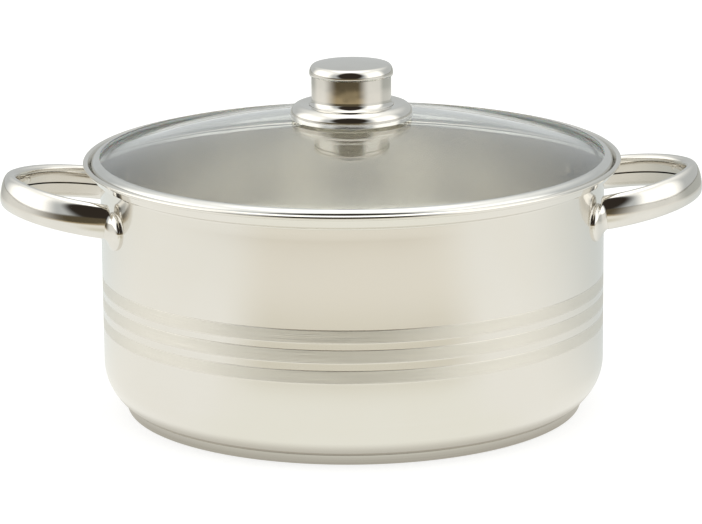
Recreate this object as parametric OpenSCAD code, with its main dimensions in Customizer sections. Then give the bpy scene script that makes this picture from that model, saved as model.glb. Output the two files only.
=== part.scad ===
// Two-handled stainless steel pan with a domed glass lid.
// Frame: origin at the centre of the base's underside, +Z up, +X through the handles.

/* [Pan] */
// Outside diameter of the straight wall
pan_d = 242; // [200:2:280]
// Thickness of the pressed steel sheet
pan_t = 0.7; // [0.5:0.1:1]
// Height of the rolled rim's top
pan_h = 122; // [90:1:160]
// Radius of the corner between wall and floor
corner_r = 23; // [18:1:28]

/* [Base] */
// Thickness of the aluminium disc
spreader_t = 2; // [1.5:0.5:4]
// Thickness of the steel cap under it
cap_t = 0.6; // [0.5:0.1:0.8]
// Height of the seam where the cap meets the pan
seam_z = 4.85; // [4.5:0.05:6.5]

/* [Handles] */
// How far each handle's centre line stands out from the wall
handle_reach = 44.5; // [40:0.5:52]
// Distance between the two legs of a handle, centre to centre
handle_w = 81; // [70:1:90]
// Height of the handle's middle at the wall
handle_z = 101.3; // [80:0.5:102]
// Upward tilt of the handle
handle_tilt = 9; // [0:1:14]
// Height of the flattened tube
tube_h = 16.2; // [12:0.2:18]
// Thickness of the flattened tube
tube_w = 7.2; // [6:0.2:9]
// Radius of the bend at the tip
tip_r = 26; // [22:1:30]
// Diameter of each welded foot
foot_d = 18.4; // [16:0.4:20]

/* [Lid] */
// Thickness of the tempered glass
glass_t = 4; // [3.5:0.5:4]
// Height of the dome's top above the table
dome_z = 141; // [136:1:146]
// Outside diameter of the steel band round the glass
band_d = 250.2; // [249.6:0.2:250.4]

/* [Knob] */
// Diameter of the knob's waist
waist_d = 38.2; // [36:0.2:39]
// Diameter of the knob's cap
knob_cap_d = 40.3; // [40:0.1:42]
// Diameter of the bezel under the knob
bezel_d = 58.4; // [56:0.4:64]

/* [Hidden] */
$fn = 96;
arc_step = 9;

wall_r = pan_d / 2;
floor_z = cap_t + spreader_t;
floor_arc_r = 13.2;
floor_turn = 34;
bead_r = 0.55;
ledge_rise = 20;
ledge_bend_r = 1.2;
ledge_l = 2.44;
flare_bend_r = 1.3;
flare_rise = 63.8;
flare_l = 5.56;
curl_turn = 235;
rim_rise = ledge_bend_r * sin(90 - ledge_rise) + ledge_l * sin(ledge_rise)
    + flare_bend_r * (cos(ledge_rise) - cos(flare_rise)) + flare_l * sin(flare_rise)
    - bead_r * cos(flare_rise) + bead_r + pan_t;
wall_start_z = floor_z + floor_arc_r * (1 - cos(floor_turn)) + corner_r * cos(floor_turn);
wall_l = pan_h - rim_rise - wall_start_z;
floor_r = wall_r - floor_arc_r * sin(floor_turn) - corner_r * (1 - sin(floor_turn));

seam_r = wall_r - corner_r + sqrt(pow(corner_r, 2) - pow(wall_start_z - seam_z, 2)) + 0.1;
cap_edge_r = 1.5;
cap_lean = 80;
cap_side_l = (seam_z - cap_edge_r * (1 - cos(cap_lean))) / sin(cap_lean);

leg_start = -3;
bend_run = handle_reach - tip_r - leg_start;
bend_turn = 90 - 2 * atan((handle_w / 2 - tip_r) / bend_run);
side_r = tip_r + bend_run / cos(bend_turn);
tube_t = 0.8;
tube_roll = 3;
oval_power = 2.5;
seam_gap = 0.8;
seam_turn = asin(pow(seam_gap / tube_h, oval_power / 2));
oval_sides = 14;
spine_step = 5;
foot_z = handle_z - 5.2;
foot_turn = asin(handle_w / 2 / wall_r);
foot_l = 0.4;
pad_depth = 2;
pad_edge_h = 0.9;
pad_h = 2;
pad_round = 3;
tongue_l = 8;
tongue_gap = 0.6;

band_t = 0.5;
edge_gap = 1.1;
edge_r = glass_t / 2;
band_r = edge_r + edge_gap + band_t;
edge_x = band_d / 2 - band_r;
edge_z = pan_h - 2;
flange_in_r = 118.3;
dome_drop = dome_z - edge_z - edge_r;
dome_blend_r = 8;
dome_low_r = (pow(flange_in_r, 2) + pow(dome_drop, 2)) / (2 * dome_drop) - dome_blend_r;
dome_slope = asin(flange_in_r / (dome_low_r + dome_blend_r));
lip_l = 0.4;

hole_r = 5;
seal_t = 1;
sheet_t = 0.7;
knob_seat_z = dome_z + seal_t + sheet_t;
insert_r = 4;
thread_r = 2.5;

// Unit vector along a heading in degrees.
function heading(a) = [cos(a), sin(a)];

// Points along an arc, a step every few degrees.
function arc(c, r, from, turn) =
    let (n = max(2, ceil(abs(turn) / arc_step)))
    [for (i = [0:n]) c + r * heading(from + turn * i / n)];

// One side of a bent sheet. Each step is [straight length, turn, bend radius]; a left turn is positive.
// The side lies the distance off to the left of the line that the steps describe.
function side(p, h, steps, off, i = 0) =
    i == len(steps) ? [] :
    let (
        run = steps[i][0], turn = steps[i][1], r = steps[i][2],
        hand = turn < 0 ? -1 : 1,
        q = p + run * heading(h),
        c = q + hand * r * heading(h + 90)
    )
    concat(
        turn == 0 ? [q + off * heading(h + 90)] : arc(c, r - hand * off, h - hand * 90, turn),
        side(c + r * heading(h + turn - hand * 90), h + turn, steps, off, i + 1)
    );

function backwards(points) = [for (i = [len(points) - 1:-1:0]) points[i]];

// Closed outline of a bent sheet of thickness t that lies to the left of its outer line.
function sheet(p, h, steps, t) = concat(
    [p], side(p, h, steps, 0),
    backwards(side(p, h, steps, t)), [p + t * heading(h + 90)]
);

// Solid of revolution of a 2-D child, kept to one side of the axis.
module spun() {
    rotate_extrude() intersection() {
        children();
        translate([0, -10]) square([200, 220]);
    }
}

pan_steps = [
    [floor_r, floor_turn, floor_arc_r],
    [0, 90 - floor_turn, corner_r],
    [wall_l, ledge_rise - 90, ledge_bend_r],
    [ledge_l, flare_rise - ledge_rise, flare_bend_r],
    [flare_l, -curl_turn, bead_r],
];

module pan_body() {
    color("silver") spun() polygon(sheet([0, floor_z], 0, pan_steps, pan_t));
}

// Everything inside the pan's outer surface, up to the wall.
module pan_filled() {
    polygon(concat(side([0, floor_z], 0, [pan_steps[0], pan_steps[1]], 0), [[0, wall_start_z], [0, floor_z]]));
}

cap_steps = [
    [seam_r - cap_side_l * cos(cap_lean) - cap_edge_r * sin(cap_lean), cap_lean, cap_edge_r],
    [cap_side_l, 0, 0],
];

module heat_spreader() {
    color("gainsboro") spun() difference() {
        polygon(concat([[0, cap_t]], side([0, 0], 0, cap_steps, cap_t + 0.02), [[0, seam_z]]));
        translate([0, -0.02]) pan_filled();
    }
}

module base_cap() {
    color("silver") spun() difference() {
        polygon(sheet([0, 0], 0, cap_steps, cap_t));
        pan_filled();
    }
}

// Places a handle's own frame at the wall: X outwards along the handle, Z across the tube's height.
module at_wall(s) {
    mirror([s < 0 ? 1 : 0, 0, 0]) translate([wall_r, 0, handle_z]) rotate([0, -handle_tilt, 0]) children();
}

// Point at turn a on the tube's flattened round section, shrunk by inset. The section is rolled a little, so that
// its outer face looks slightly upwards.
function oval(a, inset) = let (
    x = (tube_w / 2 - inset) * sign(cos(a)) * pow(abs(cos(a)), 2 / oval_power),
    z = (tube_h / 2 - inset) * sign(sin(a)) * pow(abs(sin(a)), 2 / oval_power)
) [x * cos(tube_roll) - z * sin(tube_roll), x * sin(tube_roll) + z * cos(tube_roll)];

// The handle's centre line where its outward normal points along heading a: two wide bends and a tight tip.
function spine(a) =
    abs(a) <= bend_turn ? [handle_reach - tip_r, 0] + tip_r * heading(a)
    : [leg_start, -sign(a) * (side_r - handle_w / 2)] + side_r * heading(a);

// One face of the strip's section from seam edge to seam edge.
function strip_face(inset) =
    [for (k = [0:oval_sides]) oval((180 - seam_turn) * (1 - 2 * k / oval_sides), inset)];

// A strip rolled into a flattened tube, with an open seam along its inner face.
module handle(s) {
    section = concat(strip_face(0), backwards(strip_face(tube_t)));
    n = len(section);
    turns = [-90:spine_step:90];
    last = 180 / spine_step;
    color("lightgray") at_wall(s) polyhedron(
        points = [for (a = turns, p = section) concat(spine(a) + p[0] * heading(a), [p[1]])],
        faces = concat(
            [[for (k = [0:n - 1]) k]],
            [for (j = [0:last - 1], k = [0:n - 1]) let (m = (k + 1) % n, up = (j + 1) * n)
                each [[j * n + k, up + k, up + m], [j * n + k, up + m, j * n + m]]],
            [[for (k = [n - 1:-1:0]) last * n + k]]
        )
    );
}

// A welded foot: a domed round pad on the wall that runs out into the end of the tube.
module foot(s, m) {
    color("silver") difference() {
        union() {
            hull() {
                leg_stub(s, m, leg_start - foot_l, foot_l, 0);
                foot_disc(s, m, foot_d, -pad_depth, pad_edge_h);
                foot_disc(s, m, foot_d - pad_round, pad_edge_h / 2, pad_h);
            }
            leg_stub(s, m, leg_start - 1, tongue_l, tube_t + tongue_gap);
        }
        cylinder(h = pan_h, r = wall_r);
    }
}

// A straight length l of a leg's section, starting at x along the handle.
module leg_stub(s, m, x, l, inset) {
    at_wall(s) translate([x, m * handle_w / 2, 0]) rotate([90, 0, 90]) linear_extrude(l)
        polygon([for (a = [0:12:348]) let (p = oval(a, inset)) [m * p[0], p[1]]]);
}

// A disc square to the wall, from height low to height high above it.
module foot_disc(s, m, d, low, high) {
    mirror([s < 0 ? 1 : 0, 0, 0]) rotate([0, 0, m * foot_turn]) translate([wall_r + low, 0, foot_z])
        rotate([0, 90, 0]) cylinder(h = high - low, d = d, $fn = 32);
}

module left_handle() handle(-1);
module left_front_foot() foot(-1, -1);
module left_rear_foot() foot(-1, 1);
module right_handle() handle(1);
module right_front_foot() foot(1, -1);
module right_rear_foot() foot(1, 1);

// The glass's lower line from the hole outwards: dome, blend and flat flange. off = glass_t gives its upper line.
hole_turn = asin(hole_r / dome_low_r);
hole_z = dome_z - glass_t - dome_low_r * (1 - cos(hole_turn));
glass_steps = [
    [0, hole_turn - dome_slope, dome_low_r],
    [0, dome_slope, dome_blend_r],
    [edge_x - flange_in_r, 0, 0],
];
function glass_side(off) = side([hole_r, hole_z], -hole_turn, glass_steps, off);

module glass_outline() {
    polygon(concat(glass_side(0), arc([edge_x, edge_z], edge_r, -90, 180), backwards(glass_side(glass_t))));
}

module lid_glass() {
    color("lightcyan", 0.4) spun() glass_outline();
}

// Half-round channel round the glass's edge, between two radii.
module edge_channel(inner, outer, lip) {
    polygon(concat(
        [[edge_x - lip, edge_z - outer]], arc([edge_x, edge_z], outer, -90, 180), [[edge_x - lip, edge_z + outer]],
        [[edge_x - lip, edge_z + inner]], arc([edge_x, edge_z], inner, 90, -180), [[edge_x - lip, edge_z - inner]]
    ));
}

module lid_edge_seal() {
    color("whitesmoke") spun() edge_channel(edge_r, edge_r + edge_gap, lip_l);
}

module lid_rim_band() {
    color("silver") spun() edge_channel(edge_r + edge_gap, band_r, lip_l);
}

// The bezel from its outer lower edge inwards: skirt, round shoulder, collar down to the seat, and seat.
bezel_lean = 89;
bezel_steps = [
    [2.23, 95, 4.6],
    [3.33, 78, 1.2],
    [3.02, -82, 0.9],
    [15.2, 0, 0],
];
bezel_line = side([0, 0], bezel_lean, bezel_steps, 0);
bezel_rise = bezel_line[len(bezel_line) - 1][1];

module knob_bezel() {
    color("silver") spun()
        polygon(sheet([bezel_d / 2, knob_seat_z - bezel_rise], bezel_lean, bezel_steps, sheet_t));
}

// The waist from its flared foot upwards. The foot stands just clear of the bezel's collar.
flare_lean = 130;
flare_foot_l = 0.4;
flare_r = 3.6;
flare_out = flare_r * (1 - sin(flare_lean)) - flare_foot_l * cos(flare_lean);
shell_foot_h = 4.65;
shell_steps = [
    [flare_foot_l, 90 - flare_lean, flare_r],
    [13.7, 90, 1.5],
    [20, 0, 0],
];

module knob_shell() {
    color("silver") spun()
        polygon(sheet([waist_d / 2 + flare_out, knob_seat_z + shell_foot_h], flare_lean, shell_steps, sheet_t));
}

cap_tuck = 0.24;
cap_foot_h = 18.7;
crown_lean = 75;
crown_steps = [
    [0, 15, 5],
    [0, 36, 5.3],
    [0, 49.5, 2.2],
    [0, 4.5, 223.4],
];

module knob_cap() {
    color("silver") spun()
        polygon(sheet([knob_cap_d / 2 - cap_tuck, knob_seat_z + cap_foot_h], crown_lean, crown_steps, sheet_t));
}

// A turned ring between two radii and two heights.
module ring(inner, outer, low, high) {
    translate([0, 0, low]) difference() {
        cylinder(h = high - low, r = outer);
        translate([0, 0, -1]) cylinder(h = high - low + 2, r = inner);
    }
}

core_h = 21;
insert_h = 13;

module knob_core() {
    color("dimgray") difference() {
        translate([0, 0, knob_seat_z]) cylinder(h = core_h, r = waist_d / 2 - sheet_t - 0.4);
        translate([0, 0, knob_seat_z - 1]) cylinder(h = insert_h + 1, r = insert_r);
    }
}

module knob_insert() {
    color("goldenrod") ring(thread_r, insert_r, knob_seat_z, knob_seat_z + insert_h);
}

upper_seal_r = 14;
lower_seal_r = 9;
washer_t = 1;
head_r = 4.6;
head_h = 2.4;
seal_z = dome_z - glass_t - seal_t;
play = 0.2;
bore_r = thread_r + play;

module knob_upper_seal() {
    color("white") spun() difference() {
        polygon([
            [bore_r, dome_z - glass_t], [hole_r - play, dome_z - glass_t], [hole_r - play, dome_z - seal_t],
            [upper_seal_r, dome_z - seal_t], [upper_seal_r, dome_z + seal_t], [bore_r, dome_z + seal_t],
        ]);
        glass_outline();
    }
}

module knob_lower_seal() {
    color("white") spun() difference() {
        translate([bore_r, seal_z]) square([lower_seal_r - bore_r, seal_t - 0.02]);
        glass_outline();
    }
}

module knob_washer() {
    color("silver") ring(bore_r, lower_seal_r - 1, seal_z - washer_t, seal_z);
}

module knob_screw() {
    color("silver") translate([0, 0, seal_z - washer_t]) {
        cylinder(h = knob_seat_z + insert_h - 2 - seal_z, r = thread_r - 0.05);
        difference() {
            mirror([0, 0, 1]) cylinder(h = head_h, r = head_r);
            for (a = [0, 90])
                rotate([0, 0, a]) translate([0, 0, -head_h]) cube([5.4, 1, 2.6], center = true);
        }
    }
}

pan_body();
heat_spreader();
base_cap();
left_handle();
left_front_foot();
left_rear_foot();
right_handle();
right_front_foot();
right_rear_foot();
lid_glass();
lid_edge_seal();
lid_rim_band();
knob_bezel();
knob_shell();
knob_cap();
knob_core();
knob_insert();
knob_screw();
knob_washer();
knob_upper_seal();
knob_lower_seal();
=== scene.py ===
from math import asin, atan, ceil, copysign, cos, degrees, radians, sin, sqrt

import bmesh
import bpy
import numpy as np
from mathutils import Matrix, Vector


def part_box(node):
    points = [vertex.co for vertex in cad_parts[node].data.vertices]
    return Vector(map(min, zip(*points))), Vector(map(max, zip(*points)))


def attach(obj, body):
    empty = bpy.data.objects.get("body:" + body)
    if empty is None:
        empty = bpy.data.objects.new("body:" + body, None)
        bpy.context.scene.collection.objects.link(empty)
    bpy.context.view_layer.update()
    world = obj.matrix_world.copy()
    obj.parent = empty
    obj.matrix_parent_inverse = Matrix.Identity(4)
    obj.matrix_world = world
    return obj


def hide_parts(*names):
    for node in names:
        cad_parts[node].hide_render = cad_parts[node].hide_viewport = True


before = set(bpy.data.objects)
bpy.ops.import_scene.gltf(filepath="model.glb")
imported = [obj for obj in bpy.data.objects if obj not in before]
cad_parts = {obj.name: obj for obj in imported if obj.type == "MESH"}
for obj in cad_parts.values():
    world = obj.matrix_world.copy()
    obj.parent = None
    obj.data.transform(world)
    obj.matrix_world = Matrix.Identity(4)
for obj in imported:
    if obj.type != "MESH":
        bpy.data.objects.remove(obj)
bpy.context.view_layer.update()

MM = 0.001

# ---- Sizes in millimetres, the same as the frame's ----

WALL_R = 121.0
PAN_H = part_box("pan_body")[1][2] / MM
PAN_T = 0.7
FLOOR_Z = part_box("pan_body")[0][2] / MM
FLOOR_TURN = 34.0
FLOOR_ARC_R = 13.2
CORNER_R = 23.0
WALL_START_Z = FLOOR_Z + FLOOR_ARC_R * (1 - cos(radians(FLOOR_TURN))) + CORNER_R * cos(radians(FLOOR_TURN))
CAP_T = 0.6
SEAM_Z = 4.85

# The rim's steps, each a straight run, a turn in degrees and the bend's radius.
LEDGE_BEND = [-70.0, 1.2]
LEDGE = [2.44, 43.8, 1.3]
FLARE = [5.56, -235.0, 0.55]

BAND_MIDDLES = (63.75, 54.4, 44.75)
BAND_HALF = 3.05

HANDLE_REACH = 44.5
HANDLE_W = 81.0
HANDLE_Z = 101.3
HANDLE_TILT = 9.0
TUBE_H = 16.2
TUBE_W = 7.2
TUBE_T = 0.8
TUBE_ROLL = radians(3)
OVAL_POWER = 2.5
TIP_R = 26.0
LEG_START = -3.0
SEAM_GAP = 0.8
FOOT_D = 18.4
FOOT_Z = HANDLE_Z - 5.2
FOOT_TURN = degrees(asin(HANDLE_W / 2 / WALL_R))

GLASS_T = 4.0
DOME_Z = 141.0
EDGE_R = GLASS_T / 2
EDGE_GAP = 1.1
BAND_T = 0.5
BAND_R = EDGE_R + EDGE_GAP + BAND_T
EDGE_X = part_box("lid_rim_band")[1][0] / MM - BAND_R
EDGE_Z = PAN_H - 2.0
FLANGE_R = 118.3
BLEND_R = 8.0
HOLE_R = 5.0

SHEET_T = 0.7
SEAL_T = 1.0
KNOB_Z = DOME_Z + SEAL_T + SHEET_T
WAIST_R = 19.1
CAP_R = 20.15
BEZEL_R = 29.2
CORE_H = 21.0
INSERT_H = 13.0
INSERT_R = 4.0
THREAD_R = 2.5
SEAL_Z = DOME_Z - GLASS_T - SEAL_T
WASHER_T = 1.0
WASHER_R = 8.0
UPPER_SEAL_R = 14.0
LOWER_SEAL_R = 9.0
PLAY = 0.2
BORE_R = THREAD_R + PLAY


# ---- Shapes ----

def left(heading):
    """Unit vectors a quarter turn to the left of headings in radians."""
    return np.stack([-np.sin(heading), np.cos(heading)], -1)


def trace(start, heading, steps, run_step=4.0, bend_step=7.0):
    """Points and headings along a line of straight runs and round bends.

    Each step is [run, turn in degrees, bend radius], a left turn being positive. On a bend the point is the
    centre less or plus the radius times the vector to the left of its heading.
    """
    point = np.array(start, float)
    angle = radians(heading)
    points = [point[None]]
    angles = [np.array([angle])]
    for run, turn, radius in steps:
        if run:
            far = np.linspace(0, run, ceil(run / run_step) + 1)[1:]
            points.append(point + far[:, None] * np.array([cos(angle), sin(angle)]))
            angles.append(np.full(len(far), angle))
        if turn:
            point = points[-1][-1]
            hand = copysign(radius, turn)
            count = ceil(abs(turn) / min(bend_step, 12 / sqrt(radius)))
            turned = angle + np.linspace(0, radians(turn), count + 1)[1:]
            points.append(point + hand * (left(np.array([angle])) - left(turned)))
            angles.append(turned)
            angle = turned[-1]
        point = points[-1][-1]
    return np.concatenate(points), np.concatenate(angles)


def sheet(start, heading, steps, thickness, **sampling):
    """Closed outline of a bent sheet: the traced line, and back along the line its thickness to the left."""
    points, angles = trace(start, heading, steps, **sampling)
    return np.concatenate([points, (points + thickness * left(angles))[::-1]])


def circle_part(centre, radius, start, end, step=6.0):
    """Points on an arc about centre from angle start to end, in degrees."""
    angle = np.radians(np.linspace(start, end, ceil(abs(end - start) / step) + 1))
    return np.array(centre) + radius * np.stack([np.cos(angle), np.sin(angle)], -1)


def patch(points, wrap_rows=False, wrap_columns=False):
    """Points (rows, columns, 3) and the quads that join neighbours, closed round either way if wrapped."""
    rows, columns = points.shape[:2]
    index = np.arange(rows * columns).reshape(rows, columns)
    if wrap_rows:
        index = np.vstack([index, index[:1]])
    if wrap_columns:
        index = np.hstack([index, index[:, :1]])
    quads = np.stack([index[:-1, :-1], index[1:, :-1], index[1:, 1:], index[:-1, 1:]], -1)
    return points.reshape(-1, 3), quads.reshape(-1, 4)


def piece(name, material, body, slot, *patches, replaces=None, crease=32.0):
    """One closed mesh from patches in millimetres, joined where they meet and facing outwards.

    It is shaded smooth except across edges sharper than the crease, in degrees.
    """
    starts = np.cumsum([0] + [len(points) for points, _ in patches])
    points = np.concatenate([points for points, _ in patches]) * MM
    quads = np.concatenate([quads + start for (_, quads), start in zip(patches, starts)])
    mesh = bpy.data.meshes.new(name)
    mesh.from_pydata(points.tolist(), [], quads.tolist())
    work = bmesh.new()
    work.from_mesh(mesh)
    bmesh.ops.remove_doubles(work, verts=work.verts, dist=1e-6)
    bmesh.ops.dissolve_degenerate(work, dist=1e-7, edges=work.edges)
    if work.calc_volume(signed=True) < 0:
        bmesh.ops.reverse_faces(work, faces=work.faces)
    work.to_mesh(mesh)
    work.free()
    mesh.shade_smooth()
    mesh.set_sharp_from_angle(angle=radians(crease))
    mesh.materials.append(material)
    made = bpy.data.objects.new(name, mesh)
    bpy.context.collection.objects.link(made)
    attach(made, body)
    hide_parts(replaces or name)
    return made


def spun(outline, azimuths=256, closed=True):
    """A surface of revolution: point k of the outline (r, z) at azimuth a is (r cos a, r sin a, z)."""
    if isinstance(azimuths, int):
        azimuths = np.arange(azimuths) * 2 * np.pi / azimuths
    r = outline[None, :, 0]
    z = np.broadcast_to(outline[None, :, 1], (len(azimuths), len(outline)))
    a = azimuths[:, None]
    return patch(np.stack([r * np.cos(a), r * np.sin(a), z], -1), wrap_rows=True, wrap_columns=closed)


# ---- Shader maths ----

class Wire:
    """A socket in a material. Arithmetic on it adds Math nodes, and node() adds any other kind."""

    def __init__(self, tree, socket=None):
        self.tree = tree
        self.socket = socket

    def node(self, kind, settings=(), inputs=(), out=0):
        """Adds a node: its settings first, then its sockets' values or links. Gives its output socket."""
        made = self.tree.nodes.new("ShaderNode" + kind)
        for name, value in dict(settings).items():
            setattr(made, name, value)
        for name, value in dict(inputs).items():
            if isinstance(value, Wire):
                self.tree.links.new(value.socket, made.inputs[name])
            else:
                made.inputs[name].default_value = value
        return Wire(self.tree, made.outputs[out])

    def math(self, operation, *values):
        return self.node("Math", {"operation": operation}, dict(enumerate(values)))

    def __add__(self, other):
        return self.math("ADD", self, other)

    def __mul__(self, other):
        return self.math("MULTIPLY", self, other)

    def __sub__(self, other):
        return self.math("SUBTRACT", self, other)

    def __rsub__(self, other):
        return self.math("SUBTRACT", other, self)

    def __truediv__(self, other):
        return self.math("DIVIDE", self, other)

    def __pow__(self, other):
        return self.math("POWER", self, other)

    __radd__ = __add__
    __rmul__ = __mul__

    def step(self, low, high):
        """0 below low, 1 above high and smooth between; the other way round if low is the higher."""
        if low > high:
            return 1 - self.step(high, low)
        limits = {"From Min": low, "From Max": high}
        return self.node("MapRange", {"interpolation_type": "SMOOTHSTEP"}, {"Value": self, **limits})

    def split(self):
        """The three parts of a vector."""
        node = self.node("SeparateXYZ", inputs={0: self}).socket.node
        return [Wire(self.tree, output) for output in node.outputs]

    def join(self, x, y, z):
        return self.node("CombineXYZ", inputs={0: x, 1: y, 2: z})

    def noise(self, scale, detail=2.0, roughness=0.5):
        """Noise from 0 to 1 at this position."""
        values = {"Vector": self, "Scale": scale, "Detail": detail, "Roughness": roughness}
        return self.node("TexNoise", inputs=values)

    def mix(self, first, second):
        """From the first colour to the second as this goes from 0 to 1."""
        first, second = [c if isinstance(c, Wire) else (*c, 1.0) for c in (first, second)]
        return self.node("Mix", {"data_type": "RGBA"}, {0: self, 6: first, 7: second}, out=2)


def new_material(name, **constants):
    """A material with one Principled shader, its constants set on the shader's own sockets."""
    material = bpy.data.materials.new(name)
    material.use_nodes = True
    shader = material.node_tree.nodes["Principled BSDF"]
    for key, value in constants.items():
        shader.inputs[key.replace("_", " ")].default_value = value
    wire = Wire(material.node_tree)
    place = wire.node("TexCoord", out=3)
    return material, shader, place


def feed(material, shader, **wires):
    """Links worked-out values to the shader's sockets."""
    for key, wire in wires.items():
        material.node_tree.links.new(wire.socket, shader.inputs[key.replace("_", " ")])


def bumped(height, distance):
    """Normals from a height between 0 and 1 that stands for that distance in metres."""
    return height.node("Bump", inputs={"Strength": 1.0, "Distance": distance, "Height": height})


def around(place):
    """Distance from the axis, height, and a position that follows the surface round and up, all in metres."""
    x, y, z = place.split()
    radius = (x * x + y * y) ** 0.5
    turn = x.math("ARCTAN2", x, y)
    return radius, z, turn


STEEL = (0.80, 0.78, 0.74)
WARM_STEEL = (0.79, 0.765, 0.715)


def turned_lines(place, pitch):
    """Fine rings, as a belt leaves them: noise that changes fast with height and slowly round the axis."""
    radius, z, turn = around(place)
    return place.join(radius / pitch, z / pitch, turn.math("SINE", turn) * 2.0).noise(1.0, detail=3.0)


def pan_steel():
    """Polished steel with three satin bands outside, satin inside, and rings turned into the floor."""
    material, shader, place = new_material("pan_steel", Metallic=1.0)
    radius, z, _ = around(place)
    soft_edge = 0.35
    bands = 0
    for middle in BAND_MIDDLES:
        off = z - middle * MM
        off = off.math("ABSOLUTE", off)
        bands = off.step((BAND_HALF + soft_edge) * MM, (BAND_HALF - soft_edge) * MM) + bands
    outside = radius.step((WALL_R - 0.45) * MM, (WALL_R - 0.25) * MM)
    bands = bands * outside
    lines = turned_lines(place, 0.00025)
    smudges = place.noise(38.0, detail=3.0)
    inside = 1 - radius.step((WALL_R - 0.5) * MM, (WALL_R - 0.2) * MM)
    inside = inside * z.step(0.003, 0.0034)
    plain = 0.085 + smudges * 0.05
    satin = bands * (0.17 + lines * 0.1) + inside * 0.05
    tone = (lines * 0.5 + smudges * 0.5).step(0.3, 0.7)
    polished = tone.mix(WARM_STEEL, STEEL)
    feed(
        material, shader,
        Base_Color=bands.mix(polished, (0.75, 0.725, 0.665)),
        Roughness=plain + satin,
        Normal=bumped(lines * (0.01 + bands * 0.99), 0.00013),
    )
    return material


def mirror_steel(name, colour=STEEL, roughness=0.05):
    """Buffed steel: a mirror with a faint waviness from the press and light wiping marks."""
    material, shader, place = new_material(name, Metallic=1.0)
    smudges = place.noise(90.0, detail=3.0)
    waves = place.noise(120.0, detail=1.0)
    darker = tuple(0.96 * part for part in colour)
    feed(
        material, shader,
        Base_Color=smudges.step(0.3, 0.7).mix(darker, colour),
        Roughness=roughness + smudges * 0.03,
        Normal=bumped(waves, 0.00002),
    )
    return material


def base_steel():
    """The cap under the base: satin underneath with turned rings, polished round its side."""
    material, shader, place = new_material("base_steel", Metallic=1.0)
    radius, z, _ = around(place)
    under = z.step(0.0012, 0.0004)
    groove = radius * 4200.0
    rings = groove.math("SINE", groove) * 0.5 + 0.5
    grain = turned_lines(place, 0.0003)
    feed(
        material, shader,
        Base_Color=grain.mix((0.56, 0.54, 0.50), (0.66, 0.64, 0.60)),
        Roughness=0.12 + grain * 0.05 + under * (0.16 + rings * 0.1),
        Normal=bumped(rings * under + grain * 0.2, 0.00001),
    )
    return material


def clear_glass():
    """Tempered glass with a slight green tint and the faint unevenness of a pressed sheet."""
    tint = (0.965, 0.985, 0.975, 1.0)
    material, shader, place = new_material(
        "tempered_glass", Base_Color=tint, Transmission_Weight=1.0, IOR=1.52, Roughness=0.0
    )
    feed(material, shader, Normal=bumped(place.noise(28.0, detail=1.0), 0.00002))
    return material


def milky_silicone():
    """Translucent silicone: soft gloss with a fine moulded grain."""
    material, shader, place = new_material("silicone", Subsurface_Weight=0.3, Subsurface_Scale=0.002)
    grain = place.noise(900.0)
    feed(
        material, shader,
        Base_Color=grain.mix((0.72, 0.73, 0.70), (0.82, 0.82, 0.80)),
        Roughness=0.38 + grain * 0.15,
        Normal=bumped(grain, 0.00001),
    )
    return material


def moulded_plastic():
    """Dark moulded phenolic: matt, finely pitted."""
    material, shader, place = new_material("moulded_core")
    grain = place.noise(1400.0, detail=3.0)
    feed(
        material, shader,
        Base_Color=grain.mix((0.012, 0.012, 0.012), (0.035, 0.034, 0.033)),
        Roughness=0.45 + grain * 0.2,
        Normal=bumped(grain, 0.00002),
    )
    return material


def turned_metal(name, dark, light, roughness):
    """Metal from the lathe: fine tool rings in its tone, gloss and surface."""
    material, shader, place = new_material(name, Metallic=1.0)
    grain = turned_lines(place, 0.00015)
    feed(
        material, shader,
        Base_Color=grain.mix(dark, light),
        Roughness=roughness + grain * 0.14,
        Normal=bumped(grain, 0.000008),
    )
    return material


# ---- The pan ----

def dense_azimuths(count, spots, width=radians(6), crowd=4.0):
    """Azimuths once round, up to five times closer near the spots: equal steps of the summed density."""
    fine = np.linspace(0, 2 * np.pi, 20001)
    density = np.ones_like(fine)
    for spot in spots:
        off = (fine - spot + np.pi) % (2 * np.pi) - np.pi
        density += crowd * np.exp(-((off / width) ** 2))
    total = np.concatenate([[0], np.cumsum(density[1:])])
    return np.interp(np.arange(count) / count * total[-1], total, fine)


def pan_steps():
    """The pan's outer line: floor, rounded corner, wall, ledge for the lid, flared rim and rolled bead."""
    ledge_rise = 90 + LEDGE_BEND[0]
    flare_rise = ledge_rise + LEDGE[1]
    rim_rise = (
        LEDGE_BEND[1] * sin(radians(90 - ledge_rise)) + LEDGE[0] * sin(radians(ledge_rise))
        + LEDGE[2] * (cos(radians(ledge_rise)) - cos(radians(flare_rise)))
        + FLARE[0] * sin(radians(flare_rise)) - FLARE[2] * cos(radians(flare_rise)) + FLARE[2] + PAN_T
    )
    floor_r = WALL_R - FLOOR_ARC_R * sin(radians(FLOOR_TURN)) - CORNER_R * (1 - sin(radians(FLOOR_TURN)))
    return [
        [floor_r, FLOOR_TURN, FLOOR_ARC_R],
        [0, 90 - FLOOR_TURN, CORNER_R],
        [PAN_H - rim_rise - WALL_START_Z, *LEDGE_BEND],
        LEDGE,
        FLARE,
    ]


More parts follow.
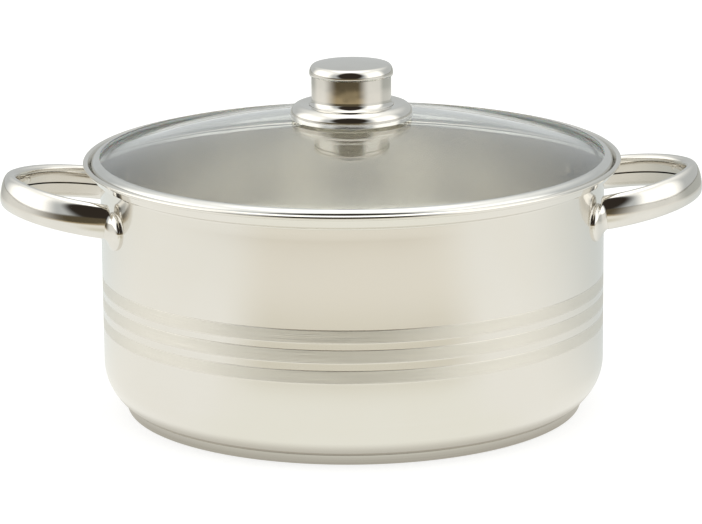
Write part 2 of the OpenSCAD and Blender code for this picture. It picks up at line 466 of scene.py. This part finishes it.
def pan_body():
    """The spun pan: its outline turned round the axis, with a weld's dent in the inner wall at each foot.

    A dent's depth at distance d from its middle is its height times exp(-(d / its radius)^4).
    """
    steps = pan_steps()
    outer, _ = trace((0, FLOOR_Z), 0, steps, run_step=5.0)
    inner, angles = trace((0, FLOOR_Z), 0, steps, run_step=1.2)
    inner = inner + PAN_T * left(angles)
    dent_turn = radians(24.0)
    dent_z, dent_r, dent_h = 101.0, 3.2, 0.4
    spots = [side + hand * dent_turn for side in (0, np.pi) for hand in (-1, 1)]
    azimuths = dense_azimuths(290, spots)
    points, quads = spun(np.concatenate([outer, inner[::-1]]), azimuths, closed=False)
    radius = np.hypot(points[:, 0], points[:, 1])
    azimuth = np.arctan2(points[:, 1], points[:, 0])
    push = np.zeros(len(points))
    for spot in spots:
        off = (azimuth - spot + np.pi) % (2 * np.pi) - np.pi
        far = np.hypot(off * WALL_R, points[:, 2] - dent_z) / dent_r
        push += dent_h * np.exp(-(far ** 4))
    push *= (radius < WALL_R - PAN_T / 2) & (radius > WALL_R - PAN_T * 1.5)
    scale = 1 + push / np.maximum(radius, 1.0)
    points = points * np.stack([scale, scale, np.ones_like(scale)], -1)
    return piece("pan_body_shell", pan_steel(), "pan", "polished_steel", (points, quads), replaces="pan_body")


def cap_line():
    """Start, heading and steps of the base cap: flat underneath, a round edge and a side up to the seam."""
    lean, edge_r, proud = 80.0, 1.5, 0.1
    seam_r = WALL_R - CORNER_R + sqrt(CORNER_R ** 2 - (WALL_START_Z - SEAM_Z) ** 2) + proud
    side = (SEAM_Z - edge_r * (1 - cos(radians(lean)))) / sin(radians(lean))
    flat = seam_r - side * cos(radians(lean)) - edge_r * sin(radians(lean))
    return (0, 0), 0, [[flat, lean, edge_r], [side, 0, 0]]


def base_cap():
    """The steel cap pressed over the aluminium disc, spun round the axis."""
    outline = sheet(*cap_line(), CAP_T, run_step=6.0)
    return piece("base_cap_shell", base_steel(), "pan", "polished_steel", spun(outline, closed=False),
                 replaces="base_cap")


def heat_spreader():
    """The aluminium disc between the floor and the cap, its rim rounded, a hair's gap above and below."""
    top = FLOOR_Z + 0.1
    edge_r, gap = 106.5, 0.02
    rim = circle_part((edge_r, (CAP_T + top) / 2), (top - CAP_T) / 2 - gap, -90, 90)
    outline = np.concatenate([[[0, CAP_T]], rim, [[0, top]]])
    outline[:, 1] = np.clip(outline[:, 1], CAP_T + 1.5 * gap, FLOOR_Z - gap)
    metal = turned_metal("spreader_aluminium", (0.60, 0.60, 0.62), (0.80, 0.80, 0.81), 0.3)
    return piece("heat_spreader_disc", metal, "pan", "aluminium", spun(outline, 128, closed=False),
                 replaces="heat_spreader")


# ---- Handles and their feet ----

def at_wall(points, side):
    """Moves points from a handle's own frame, X outwards along it, to the wall on one side of the pan."""
    tilt = radians(HANDLE_TILT)
    x = WALL_R + points[..., 0] * cos(tilt) - points[..., 2] * sin(tilt)
    z = HANDLE_Z + points[..., 0] * sin(tilt) + points[..., 2] * cos(tilt)
    return np.stack([side * x, points[..., 1], z], -1)


def oval(angle, inset=0.0):
    """A flattened round: half its width times cos to a power below 1, and the same with sin for its height.

    The section is rolled a little, so that its outer face looks slightly upwards.
    """
    c, s = np.cos(angle), np.sin(angle)
    x = (TUBE_W / 2 - inset) * np.sign(c) * np.abs(c) ** (2 / OVAL_POWER)
    z = (TUBE_H / 2 - inset) * np.sign(s) * np.abs(s) ** (2 / OVAL_POWER)
    return x * cos(TUBE_ROLL) - z * sin(TUBE_ROLL), x * sin(TUBE_ROLL) + z * cos(TUBE_ROLL)


def handle(side, name, metal):
    """A strip rolled into a flattened tube and bent: two wide bends and a tight tip, an open seam inside.

    At turn a the middle lies at a bend's centre plus its radius times (cos a, sin a), and the section stands
    there with its width along that same direction.
    """
    run = HANDLE_REACH - TIP_R - LEG_START
    tip_turn = radians(90) - 2 * atan((HANDLE_W / 2 - TIP_R) / run)
    side_r = TIP_R + run / cos(tip_turn)
    a = np.radians(np.linspace(-90, 90, 145))
    tip = np.abs(a) <= tip_turn
    x = np.where(tip, HANDLE_REACH - TIP_R + TIP_R * np.cos(a), LEG_START + side_r * np.cos(a))
    y = np.where(tip, TIP_R * np.sin(a), side_r * np.sin(a) - np.sign(a) * (side_r - HANDLE_W / 2))
    gap = asin((SEAM_GAP / TUBE_H) ** (OVAL_POWER / 2))
    around_tube = np.linspace(np.pi - gap, -np.pi + gap, 97)
    outer = oval(around_tube)
    inner = oval(around_tube, TUBE_T)
    across = np.concatenate([outer[0], inner[0][::-1]])
    up = np.concatenate([outer[1], inner[1][::-1]])
    grid = np.stack([
        x[:, None] + across * np.cos(a)[:, None],
        y[:, None] + across * np.sin(a)[:, None],
        np.broadcast_to(up, (len(a), len(up))),
    ], -1)
    grid = at_wall(grid, side)
    walls = patch(grid, wrap_columns=True)
    half = len(around_tube)
    ends = [patch(np.stack([grid[row, :half], grid[row, half:][::-1]])) for row in (0, -1)]
    ends[0] = (ends[0][0], ends[0][1][:, ::-1])
    return piece(name + "_tube", metal, "pan", "handle_steel", walls, *ends, replaces=name)


def foot(side, hand, name, metal):
    """A welded foot: a round pad on the wall whose face runs up into the end of the tube.

    From the pad's ring to the tube's ring each point follows a cubic curve that leaves along the pad's rim
    and arrives along the leg.
    """
    angle = np.linspace(0, 2 * np.pi, 65)[:-1]
    inset, rim_r, pull = 0.25, 1.8, 7.0

    def pad_ring(radius, lift):
        turn = np.radians(FOOT_TURN) * hand + radius * np.cos(angle) / WALL_R * hand
        r = WALL_R + lift
        return np.stack([side * r * np.cos(turn), r * np.sin(turn), FOOT_Z + radius * np.sin(angle)], -1)

    across, up = oval(angle, inset)
    leg = np.stack([np.full_like(across, LEG_START + 0.3), hand * (HANDLE_W / 2 + across), up], -1)
    leg_ring = at_wall(leg, side)
    along = at_wall(leg + np.array([1.0, 0, 0]), side) - leg_ring
    rim = circle_part((FOOT_D / 2 - rim_r, 0.3), rim_r, 0, 62, 10)
    pads = [pad_ring(FOOT_D / 2, -0.05)] + [pad_ring(radius, lift) for radius, lift in rim]
    start = pads[-1]
    leaving = (pads[-1] - pads[-2]) / np.linalg.norm(pads[-1] - pads[-2], axis=-1, keepdims=True) * pull
    arriving = along * pull
    s = np.linspace(0, 1, 15)[1:, None, None]
    rise = (
        (2 * s ** 3 - 3 * s ** 2 + 1) * start + (s ** 3 - 2 * s ** 2 + s) * leaving
        + (3 * s ** 2 - 2 * s ** 3) * leg_ring + (s ** 3 - s ** 2) * arriving
    )
    tongue = at_wall(leg + np.array([3.0, 0, 0]), side)
    middle_in = np.broadcast_to(pads[0].mean(0), pads[0].shape)
    middle_out = np.broadcast_to(tongue.mean(0), tongue.shape)
    rows = np.stack([middle_in, *pads, *rise, tongue, middle_out])
    return piece(name + "_weld", metal, "pan", "handle_steel", patch(rows, wrap_columns=True), replaces=name)


# ---- The lid ----

def glass_line():
    """The dome's lower line and its headings, from the hole outwards: round dome, blend and flat flange."""
    drop = DOME_Z - EDGE_Z - EDGE_R
    low_r = (FLANGE_R ** 2 + drop ** 2) / (2 * drop) - BLEND_R
    slope = degrees(asin(FLANGE_R / (low_r + BLEND_R)))
    start = degrees(asin(HOLE_R / low_r))
    low_z = DOME_Z - GLASS_T - low_r * (1 - cos(radians(start)))
    dome = [0, start - slope, low_r]
    return trace((HOLE_R, low_z), -start, [dome, [0, slope, BLEND_R], [EDGE_X - FLANGE_R, 0, 0]])


def lid_glass():
    """The domed glass: two lines a thickness apart and a half-round edge, spun round the axis."""
    lower, angles = glass_line()
    upper = lower + GLASS_T * left(angles)
    edge = circle_part((EDGE_X, EDGE_Z), EDGE_R, -90, 90)
    outline = np.concatenate([lower[:-1], edge, upper[-2::-1]])
    return piece("lid_glass_dome", clear_glass(), "lid", "tempered_glass", spun(outline, 300),
                 replaces="lid_glass", crease=50.0)


def channel(inner, outer, lip):
    """A half-round channel round the glass's edge: two arcs about its middle, with short straight lips."""
    return np.concatenate([
        [[EDGE_X - lip, EDGE_Z - outer]], circle_part((EDGE_X, EDGE_Z), outer, -90, 90),
        [[EDGE_X - lip, EDGE_Z + outer], [EDGE_X - lip, EDGE_Z + inner]],
        circle_part((EDGE_X, EDGE_Z), inner, 90, -90), [[EDGE_X - lip, EDGE_Z - inner]],
    ])


def lid_edge(rubber, metal):
    """The thin seal on the glass's edge and the steel band over it."""
    inner, lip = EDGE_R + EDGE_GAP, 0.4
    seal = spun(channel(EDGE_R, inner, lip), 300)
    band = spun(channel(inner, BAND_R, lip), 300)
    piece("lid_edge_seal_ring", rubber, "lid", "silicone", seal, replaces="lid_edge_seal")
    piece("lid_rim_band_ring", metal, "lid", "band_steel", band, replaces="lid_rim_band")


# ---- The knob ----

def ring(inner, outer, low, high, ease=0.2):
    """Outline of a turned ring with its four corners rounded."""
    corners = [(outer - ease, low + ease, -90), (outer - ease, high - ease, 0),
               (inner + ease, high - ease, 90), (inner + ease, low + ease, 180)]
    return np.concatenate([circle_part((r, z), ease, turn, turn + 90, 18) for r, z, turn in corners])


def knob_shells(metal):
    """The three pressed shells of the knob: bezel, waist and crowned cap.

    The bezel runs from its outer lower edge inwards: skirt, round shoulder, collar down to the seat, seat.
    The waist runs up from its flared foot, and the cap from its edge to the middle of its crown.
    """
    fine = {"run_step": 1.0, "bend_step": 4.0}
    skirt, shoulder, collar, seat = [2.23, 95, 4.6], [3.33, 78, 1.2], [3.02, -82, 0.9], [15.2, 0, 0]
    bezel = sheet((BEZEL_R, 0), 89, [skirt, shoulder, collar, seat], SHEET_T, **fine)
    bezel[:, 1] += KNOB_Z - bezel[len(bezel) // 2 - 1, 1]
    piece("knob_bezel_shell", metal, "lid", "knob_steel", spun(bezel, 192), replaces="knob_bezel")
    lean, foot_run, flare_r, foot_h = 130, 0.4, 3.6, 4.65
    flare_out = flare_r * (1 - sin(radians(lean))) - foot_run * cos(radians(lean))
    waist_steps = [[foot_run, 90 - lean, flare_r], [13.7, 90, 1.5], [20, 0, 0]]
    waist = sheet((WAIST_R + flare_out, KNOB_Z + foot_h), lean, waist_steps, SHEET_T, **fine)
    waist[:, 0] = np.maximum(waist[:, 0], 0)
    turned = spun(waist, 192, closed=False)
    piece("knob_waist_shell", metal, "lid", "knob_steel", turned, replaces="knob_shell")
    crown = [[0, 15, 5], [0, 36, 5.3], [0, 49.5, 2.2], [0, 4.5, 223.4]]
    tuck, edge_h = 0.24, 18.7
    cap = sheet((CAP_R - tuck, KNOB_Z + edge_h), 75, crown, SHEET_T, bend_step=3.0)
    cap = cap[cap[:, 0] > 0.0]
    half = len(cap) // 2
    cap = np.concatenate([cap[:half], [[0, cap[half - 1, 1]], [0, cap[half, 1]]], cap[half:]])
    piece("knob_cap_shell", metal, "lid", "knob_steel", spun(cap, 192), replaces="knob_cap")


def knob_inside(rubber):
    """What the knob holds: moulded core, threaded insert, screw, washer and two seals."""
    core_r = WAIST_R - SHEET_T - 0.4
    core = np.array([
        [INSERT_R, KNOB_Z], [core_r, KNOB_Z], [core_r, KNOB_Z + CORE_H], [0, KNOB_Z + CORE_H],
        [0, KNOB_Z + INSERT_H], [INSERT_R, KNOB_Z + INSERT_H],
    ])
    piece("knob_core_block", moulded_plastic(), "lid", "moulded_core", spun(core, 96), replaces="knob_core")
    brass = turned_metal("insert_brass", (0.62, 0.45, 0.18), (0.80, 0.62, 0.30), 0.22)
    bush = ring(THREAD_R, INSERT_R, KNOB_Z, KNOB_Z + INSERT_H)
    piece("knob_insert_bush", brass, "lid", "brass", spun(bush, 64), replaces="knob_insert")
    plain = turned_metal("fastener_steel", (0.52, 0.52, 0.51), (0.70, 0.70, 0.69), 0.2)
    washer = ring(BORE_R, WASHER_R, SEAL_Z - WASHER_T, SEAL_Z)
    piece("knob_washer_ring", plain, "lid", "fastener_steel", spun(washer, 96), replaces="knob_washer")
    upper = np.array([
        [BORE_R, DOME_Z - GLASS_T], [HOLE_R - PLAY, DOME_Z - GLASS_T], [HOLE_R - PLAY, DOME_Z - 0.02],
        [UPPER_SEAL_R, DOME_Z - 0.27], [UPPER_SEAL_R, DOME_Z + SEAL_T], [BORE_R, DOME_Z + SEAL_T],
    ])
    piece("knob_upper_seal_ring", rubber, "lid", "silicone", spun(upper, 96), replaces="knob_upper_seal")
    lower = ring(BORE_R, LOWER_SEAL_R, SEAL_Z, SEAL_Z + 0.86, 0.15)
    piece("knob_lower_seal_ring", rubber, "lid", "silicone", spun(lower, 96), replaces="knob_lower_seal")
    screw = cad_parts["knob_screw"]
    screw.data.materials.clear()
    screw.data.materials.append(plain)


# ---- The studio ----

def camera():
    """A long lens a little above the rim, the object turned so that its left handle comes nearer."""
    distance, above, aim_z, aim_x = 1.8185, radians(13.876), 0.06912, -0.000909
    object_turn, roll = radians(-2.4), radians(0.527)
    turn = Matrix.Rotation(object_turn, 3, "Z")
    eye = turn @ Vector((0, -distance * cos(above), aim_z + distance * sin(above)))
    aim = turn @ Vector((aim_x, 0, aim_z))
    forward = (aim - eye).normalized()
    right = forward.cross(Vector((0, 0, 1))).normalized()
    up = right.cross(forward)
    right, up = right * cos(roll) - up * sin(roll), right * sin(roll) + up * cos(roll)
    seen = bpy.data.objects.new("camera", bpy.data.cameras.new("camera"))
    bpy.context.collection.objects.link(seen)
    seen.matrix_world = Matrix.Translation(eye) @ Matrix((right, up, -forward)).transposed().to_4x4()
    seen.data.lens = 192.8
    seen.data.sensor_width = 36.0
    bpy.context.scene.camera = seen


def studio_light():
    """Light from the whole sky: bright soft sides and ceiling, a grey wall, and a dark room in front.

    The azimuth is measured from the front towards the right, and the elevation from the horizon.
    """
    world = bpy.data.worlds.new("studio")
    bpy.context.scene.world = world
    world.use_nodes = True
    tree = world.node_tree
    tree.nodes.clear()
    wire = Wire(tree)
    x, y, z = wire.node("TexCoord", out=0).split()
    azimuth = x.math("ARCTAN2", x, 0 - y) * degrees(1)
    elevation = z.math("ARCSINE", z) * degrees(1)
    wall = elevation.step(16, 62).mix((0.57, 0.59, 0.59), (1.2, 1.2, 1.16))
    left_box = azimuth.step(-50, -74) * azimuth.step(-138, -112)
    right_box = azimuth.step(32, 50) * azimuth.step(106, 84)
    softbox = (left_box + right_box) * elevation.step(58, 34)
    sides = softbox.mix(wall, (1.5, 1.49, 1.43))
    ceiling = elevation.step(56, 72).mix(sides, (1.9, 1.9, 1.85))
    across = (azimuth + 6) / 37
    up = (elevation - 26) / 36
    dark = (across * across + up * up).step(1.45, 0.62)
    room = dark.mix(ceiling, (0.035, 0.028, 0.022))
    below = elevation.step(0.5, -1.5).mix(room, (0.11, 0.09, 0.06))
    path = wire.node("LightPath", out=0)
    seen = path.mix(below, (1.0, 1.0, 1.0))
    sky = wire.node("Background", inputs={"Color": seen, "Strength": 1.0})
    output = tree.nodes.new("ShaderNodeOutputWorld")
    tree.links.new(sky.socket, output.inputs["Surface"])


def disc(name, radius, height):
    """A flat round plate: one face, its corners at equal angles about the axis."""
    mesh = bpy.data.meshes.new(name)
    turn = np.linspace(0, 2 * np.pi, 129)[:-1]
    rim = np.stack([radius * np.cos(turn), radius * np.sin(turn), np.full_like(turn, height)], -1)
    mesh.from_pydata(rim.tolist(), [], [list(range(len(turn)))])
    made = bpy.data.objects.new(name, mesh)
    bpy.context.collection.objects.link(made)
    return made


def emitting(name, colour, strength, lit):
    """A stage material: light of that colour mixed with plain white, lit being the light's share."""
    material = bpy.data.materials.new(name)
    material.use_nodes = True
    tree = material.node_tree
    tree.nodes.clear()
    wire = Wire(tree)
    glow = wire.node("Emission", inputs={"Color": colour(wire), "Strength": strength})
    white = wire.node("BsdfDiffuse", inputs={"Color": (0.9, 0.9, 0.89, 1.0)})
    mixed = wire.node("MixShader", inputs={0: lit, 1: white, 2: glow})
    output = tree.nodes.new("ShaderNodeOutputMaterial")
    tree.links.new(mixed.socket, output.inputs["Surface"])
    return material


def table_top(wire):
    """What the steel sees of the table: cream near the pan, then brown, then dark.

    In front the cream turns tan before the brown. On the lit sides it stays pale all the way out. Past 0.57 m
    the light and shade on the table are painted into its glow, pale where lit and grey in shade, and close
    round the pan's foot a painted contact shadow darkens it. far is the distance from the pan's axis, and the
    azimuth is measured as for the studio's light.
    """
    x, y, _ = wire.node("TexCoord", out=3).split()
    far = (x * x + y * y) ** 0.5
    azimuth = x.math("ARCTAN2", x, 0 - y) * degrees(1)
    front = azimuth.step(-56, -32) * azimuth.step(52, 28)
    near = far.step(0.305, 0.225)
    tan = far.step(0.32, 0.46).mix((0.76, 0.73, 0.62), (0.91, 0.88, 0.79))
    ahead = near.mix(tan, (0.955, 0.955, 0.88))
    beside = far.step(0.35, 0.50).mix((0.98, 0.975, 0.925), (0.96, 0.955, 0.90))
    top = front.mix(beside, ahead)
    top = azimuth.step(62, 135).mix(top, (0.70, 0.73, 0.715))
    top = azimuth.step(-95, -160).mix(top, (0.79, 0.83, 0.815))
    # Painted light and shade: past 0.57 m the table glows pale where the side lights fall, grey where it lies
    # in shade, and dark in front where no light falls.
    lit = azimuth.step(-42, -92) + azimuth.step(14, 52)
    shade = azimuth.step(82, 104) + azimuth.step(-112, -145)
    brown = shade.mix(lit.mix((0.42, 0.335, 0.20), (0.92, 0.90, 0.84)), (0.68, 0.68, 0.64))
    beyond = shade.mix(lit.mix((0.105, 0.085, 0.052), (0.84, 0.83, 0.78)), (0.50, 0.51, 0.48))
    top = far.step(0.57, 0.68).mix(top, brown)
    top = far.step(0.77, 0.81).mix(top, beyond)
    # Painted contact shadow: inside 0.110 m of the axis the table glows a darker (0.62, 0.60, 0.54), easing
    # into the rest by 0.122 m.
    return far.step(0.110, 0.122).mix((0.62, 0.60, 0.54), top)


def stage():
    """A pale floor for the eye and the room's light, and a table that only mirrors see."""
    floor = disc("floor", 12.0, -0.0002)
    floor.data.materials.append(emitting("pale_floor", lambda wire: (1.0, 1.0, 1.0, 1.0), 1.25, 0.6))
    floor.visible_glossy = False
    table = disc("table", 6.0, -0.0001)
    table.data.materials.append(emitting("table_top", table_top, 1.0, 1.0))
    table.visible_camera = False
    table.visible_diffuse = False
    table.visible_transmission = False
    table.visible_shadow = False


# ---- Building ----

camera()
studio_light()
stage()
bpy.context.scene.view_settings.view_transform = "Standard"
bpy.context.scene.cycles.max_bounces = 20
bpy.context.scene.cycles.glossy_bounces = 12

handle_metal = mirror_steel("handle_steel")
knob_metal = mirror_steel("knob_steel", roughness=0.02)
band_metal = mirror_steel("band_steel", colour=(0.78, 0.775, 0.75), roughness=0.07)
silicone = milky_silicone()

pan_body()
base_cap()
heat_spreader()
for side, side_name in ((-1, "left"), (1, "right")):
    handle(side, side_name + "_handle", handle_metal)
    for hand, hand_name in ((-1, "front"), (1, "rear")):
        foot(side, hand, side_name + "_" + hand_name + "_foot", handle_metal)
lid_glass()
lid_edge(silicone, band_metal)
knob_shells(knob_metal)
knob_inside(silicone)
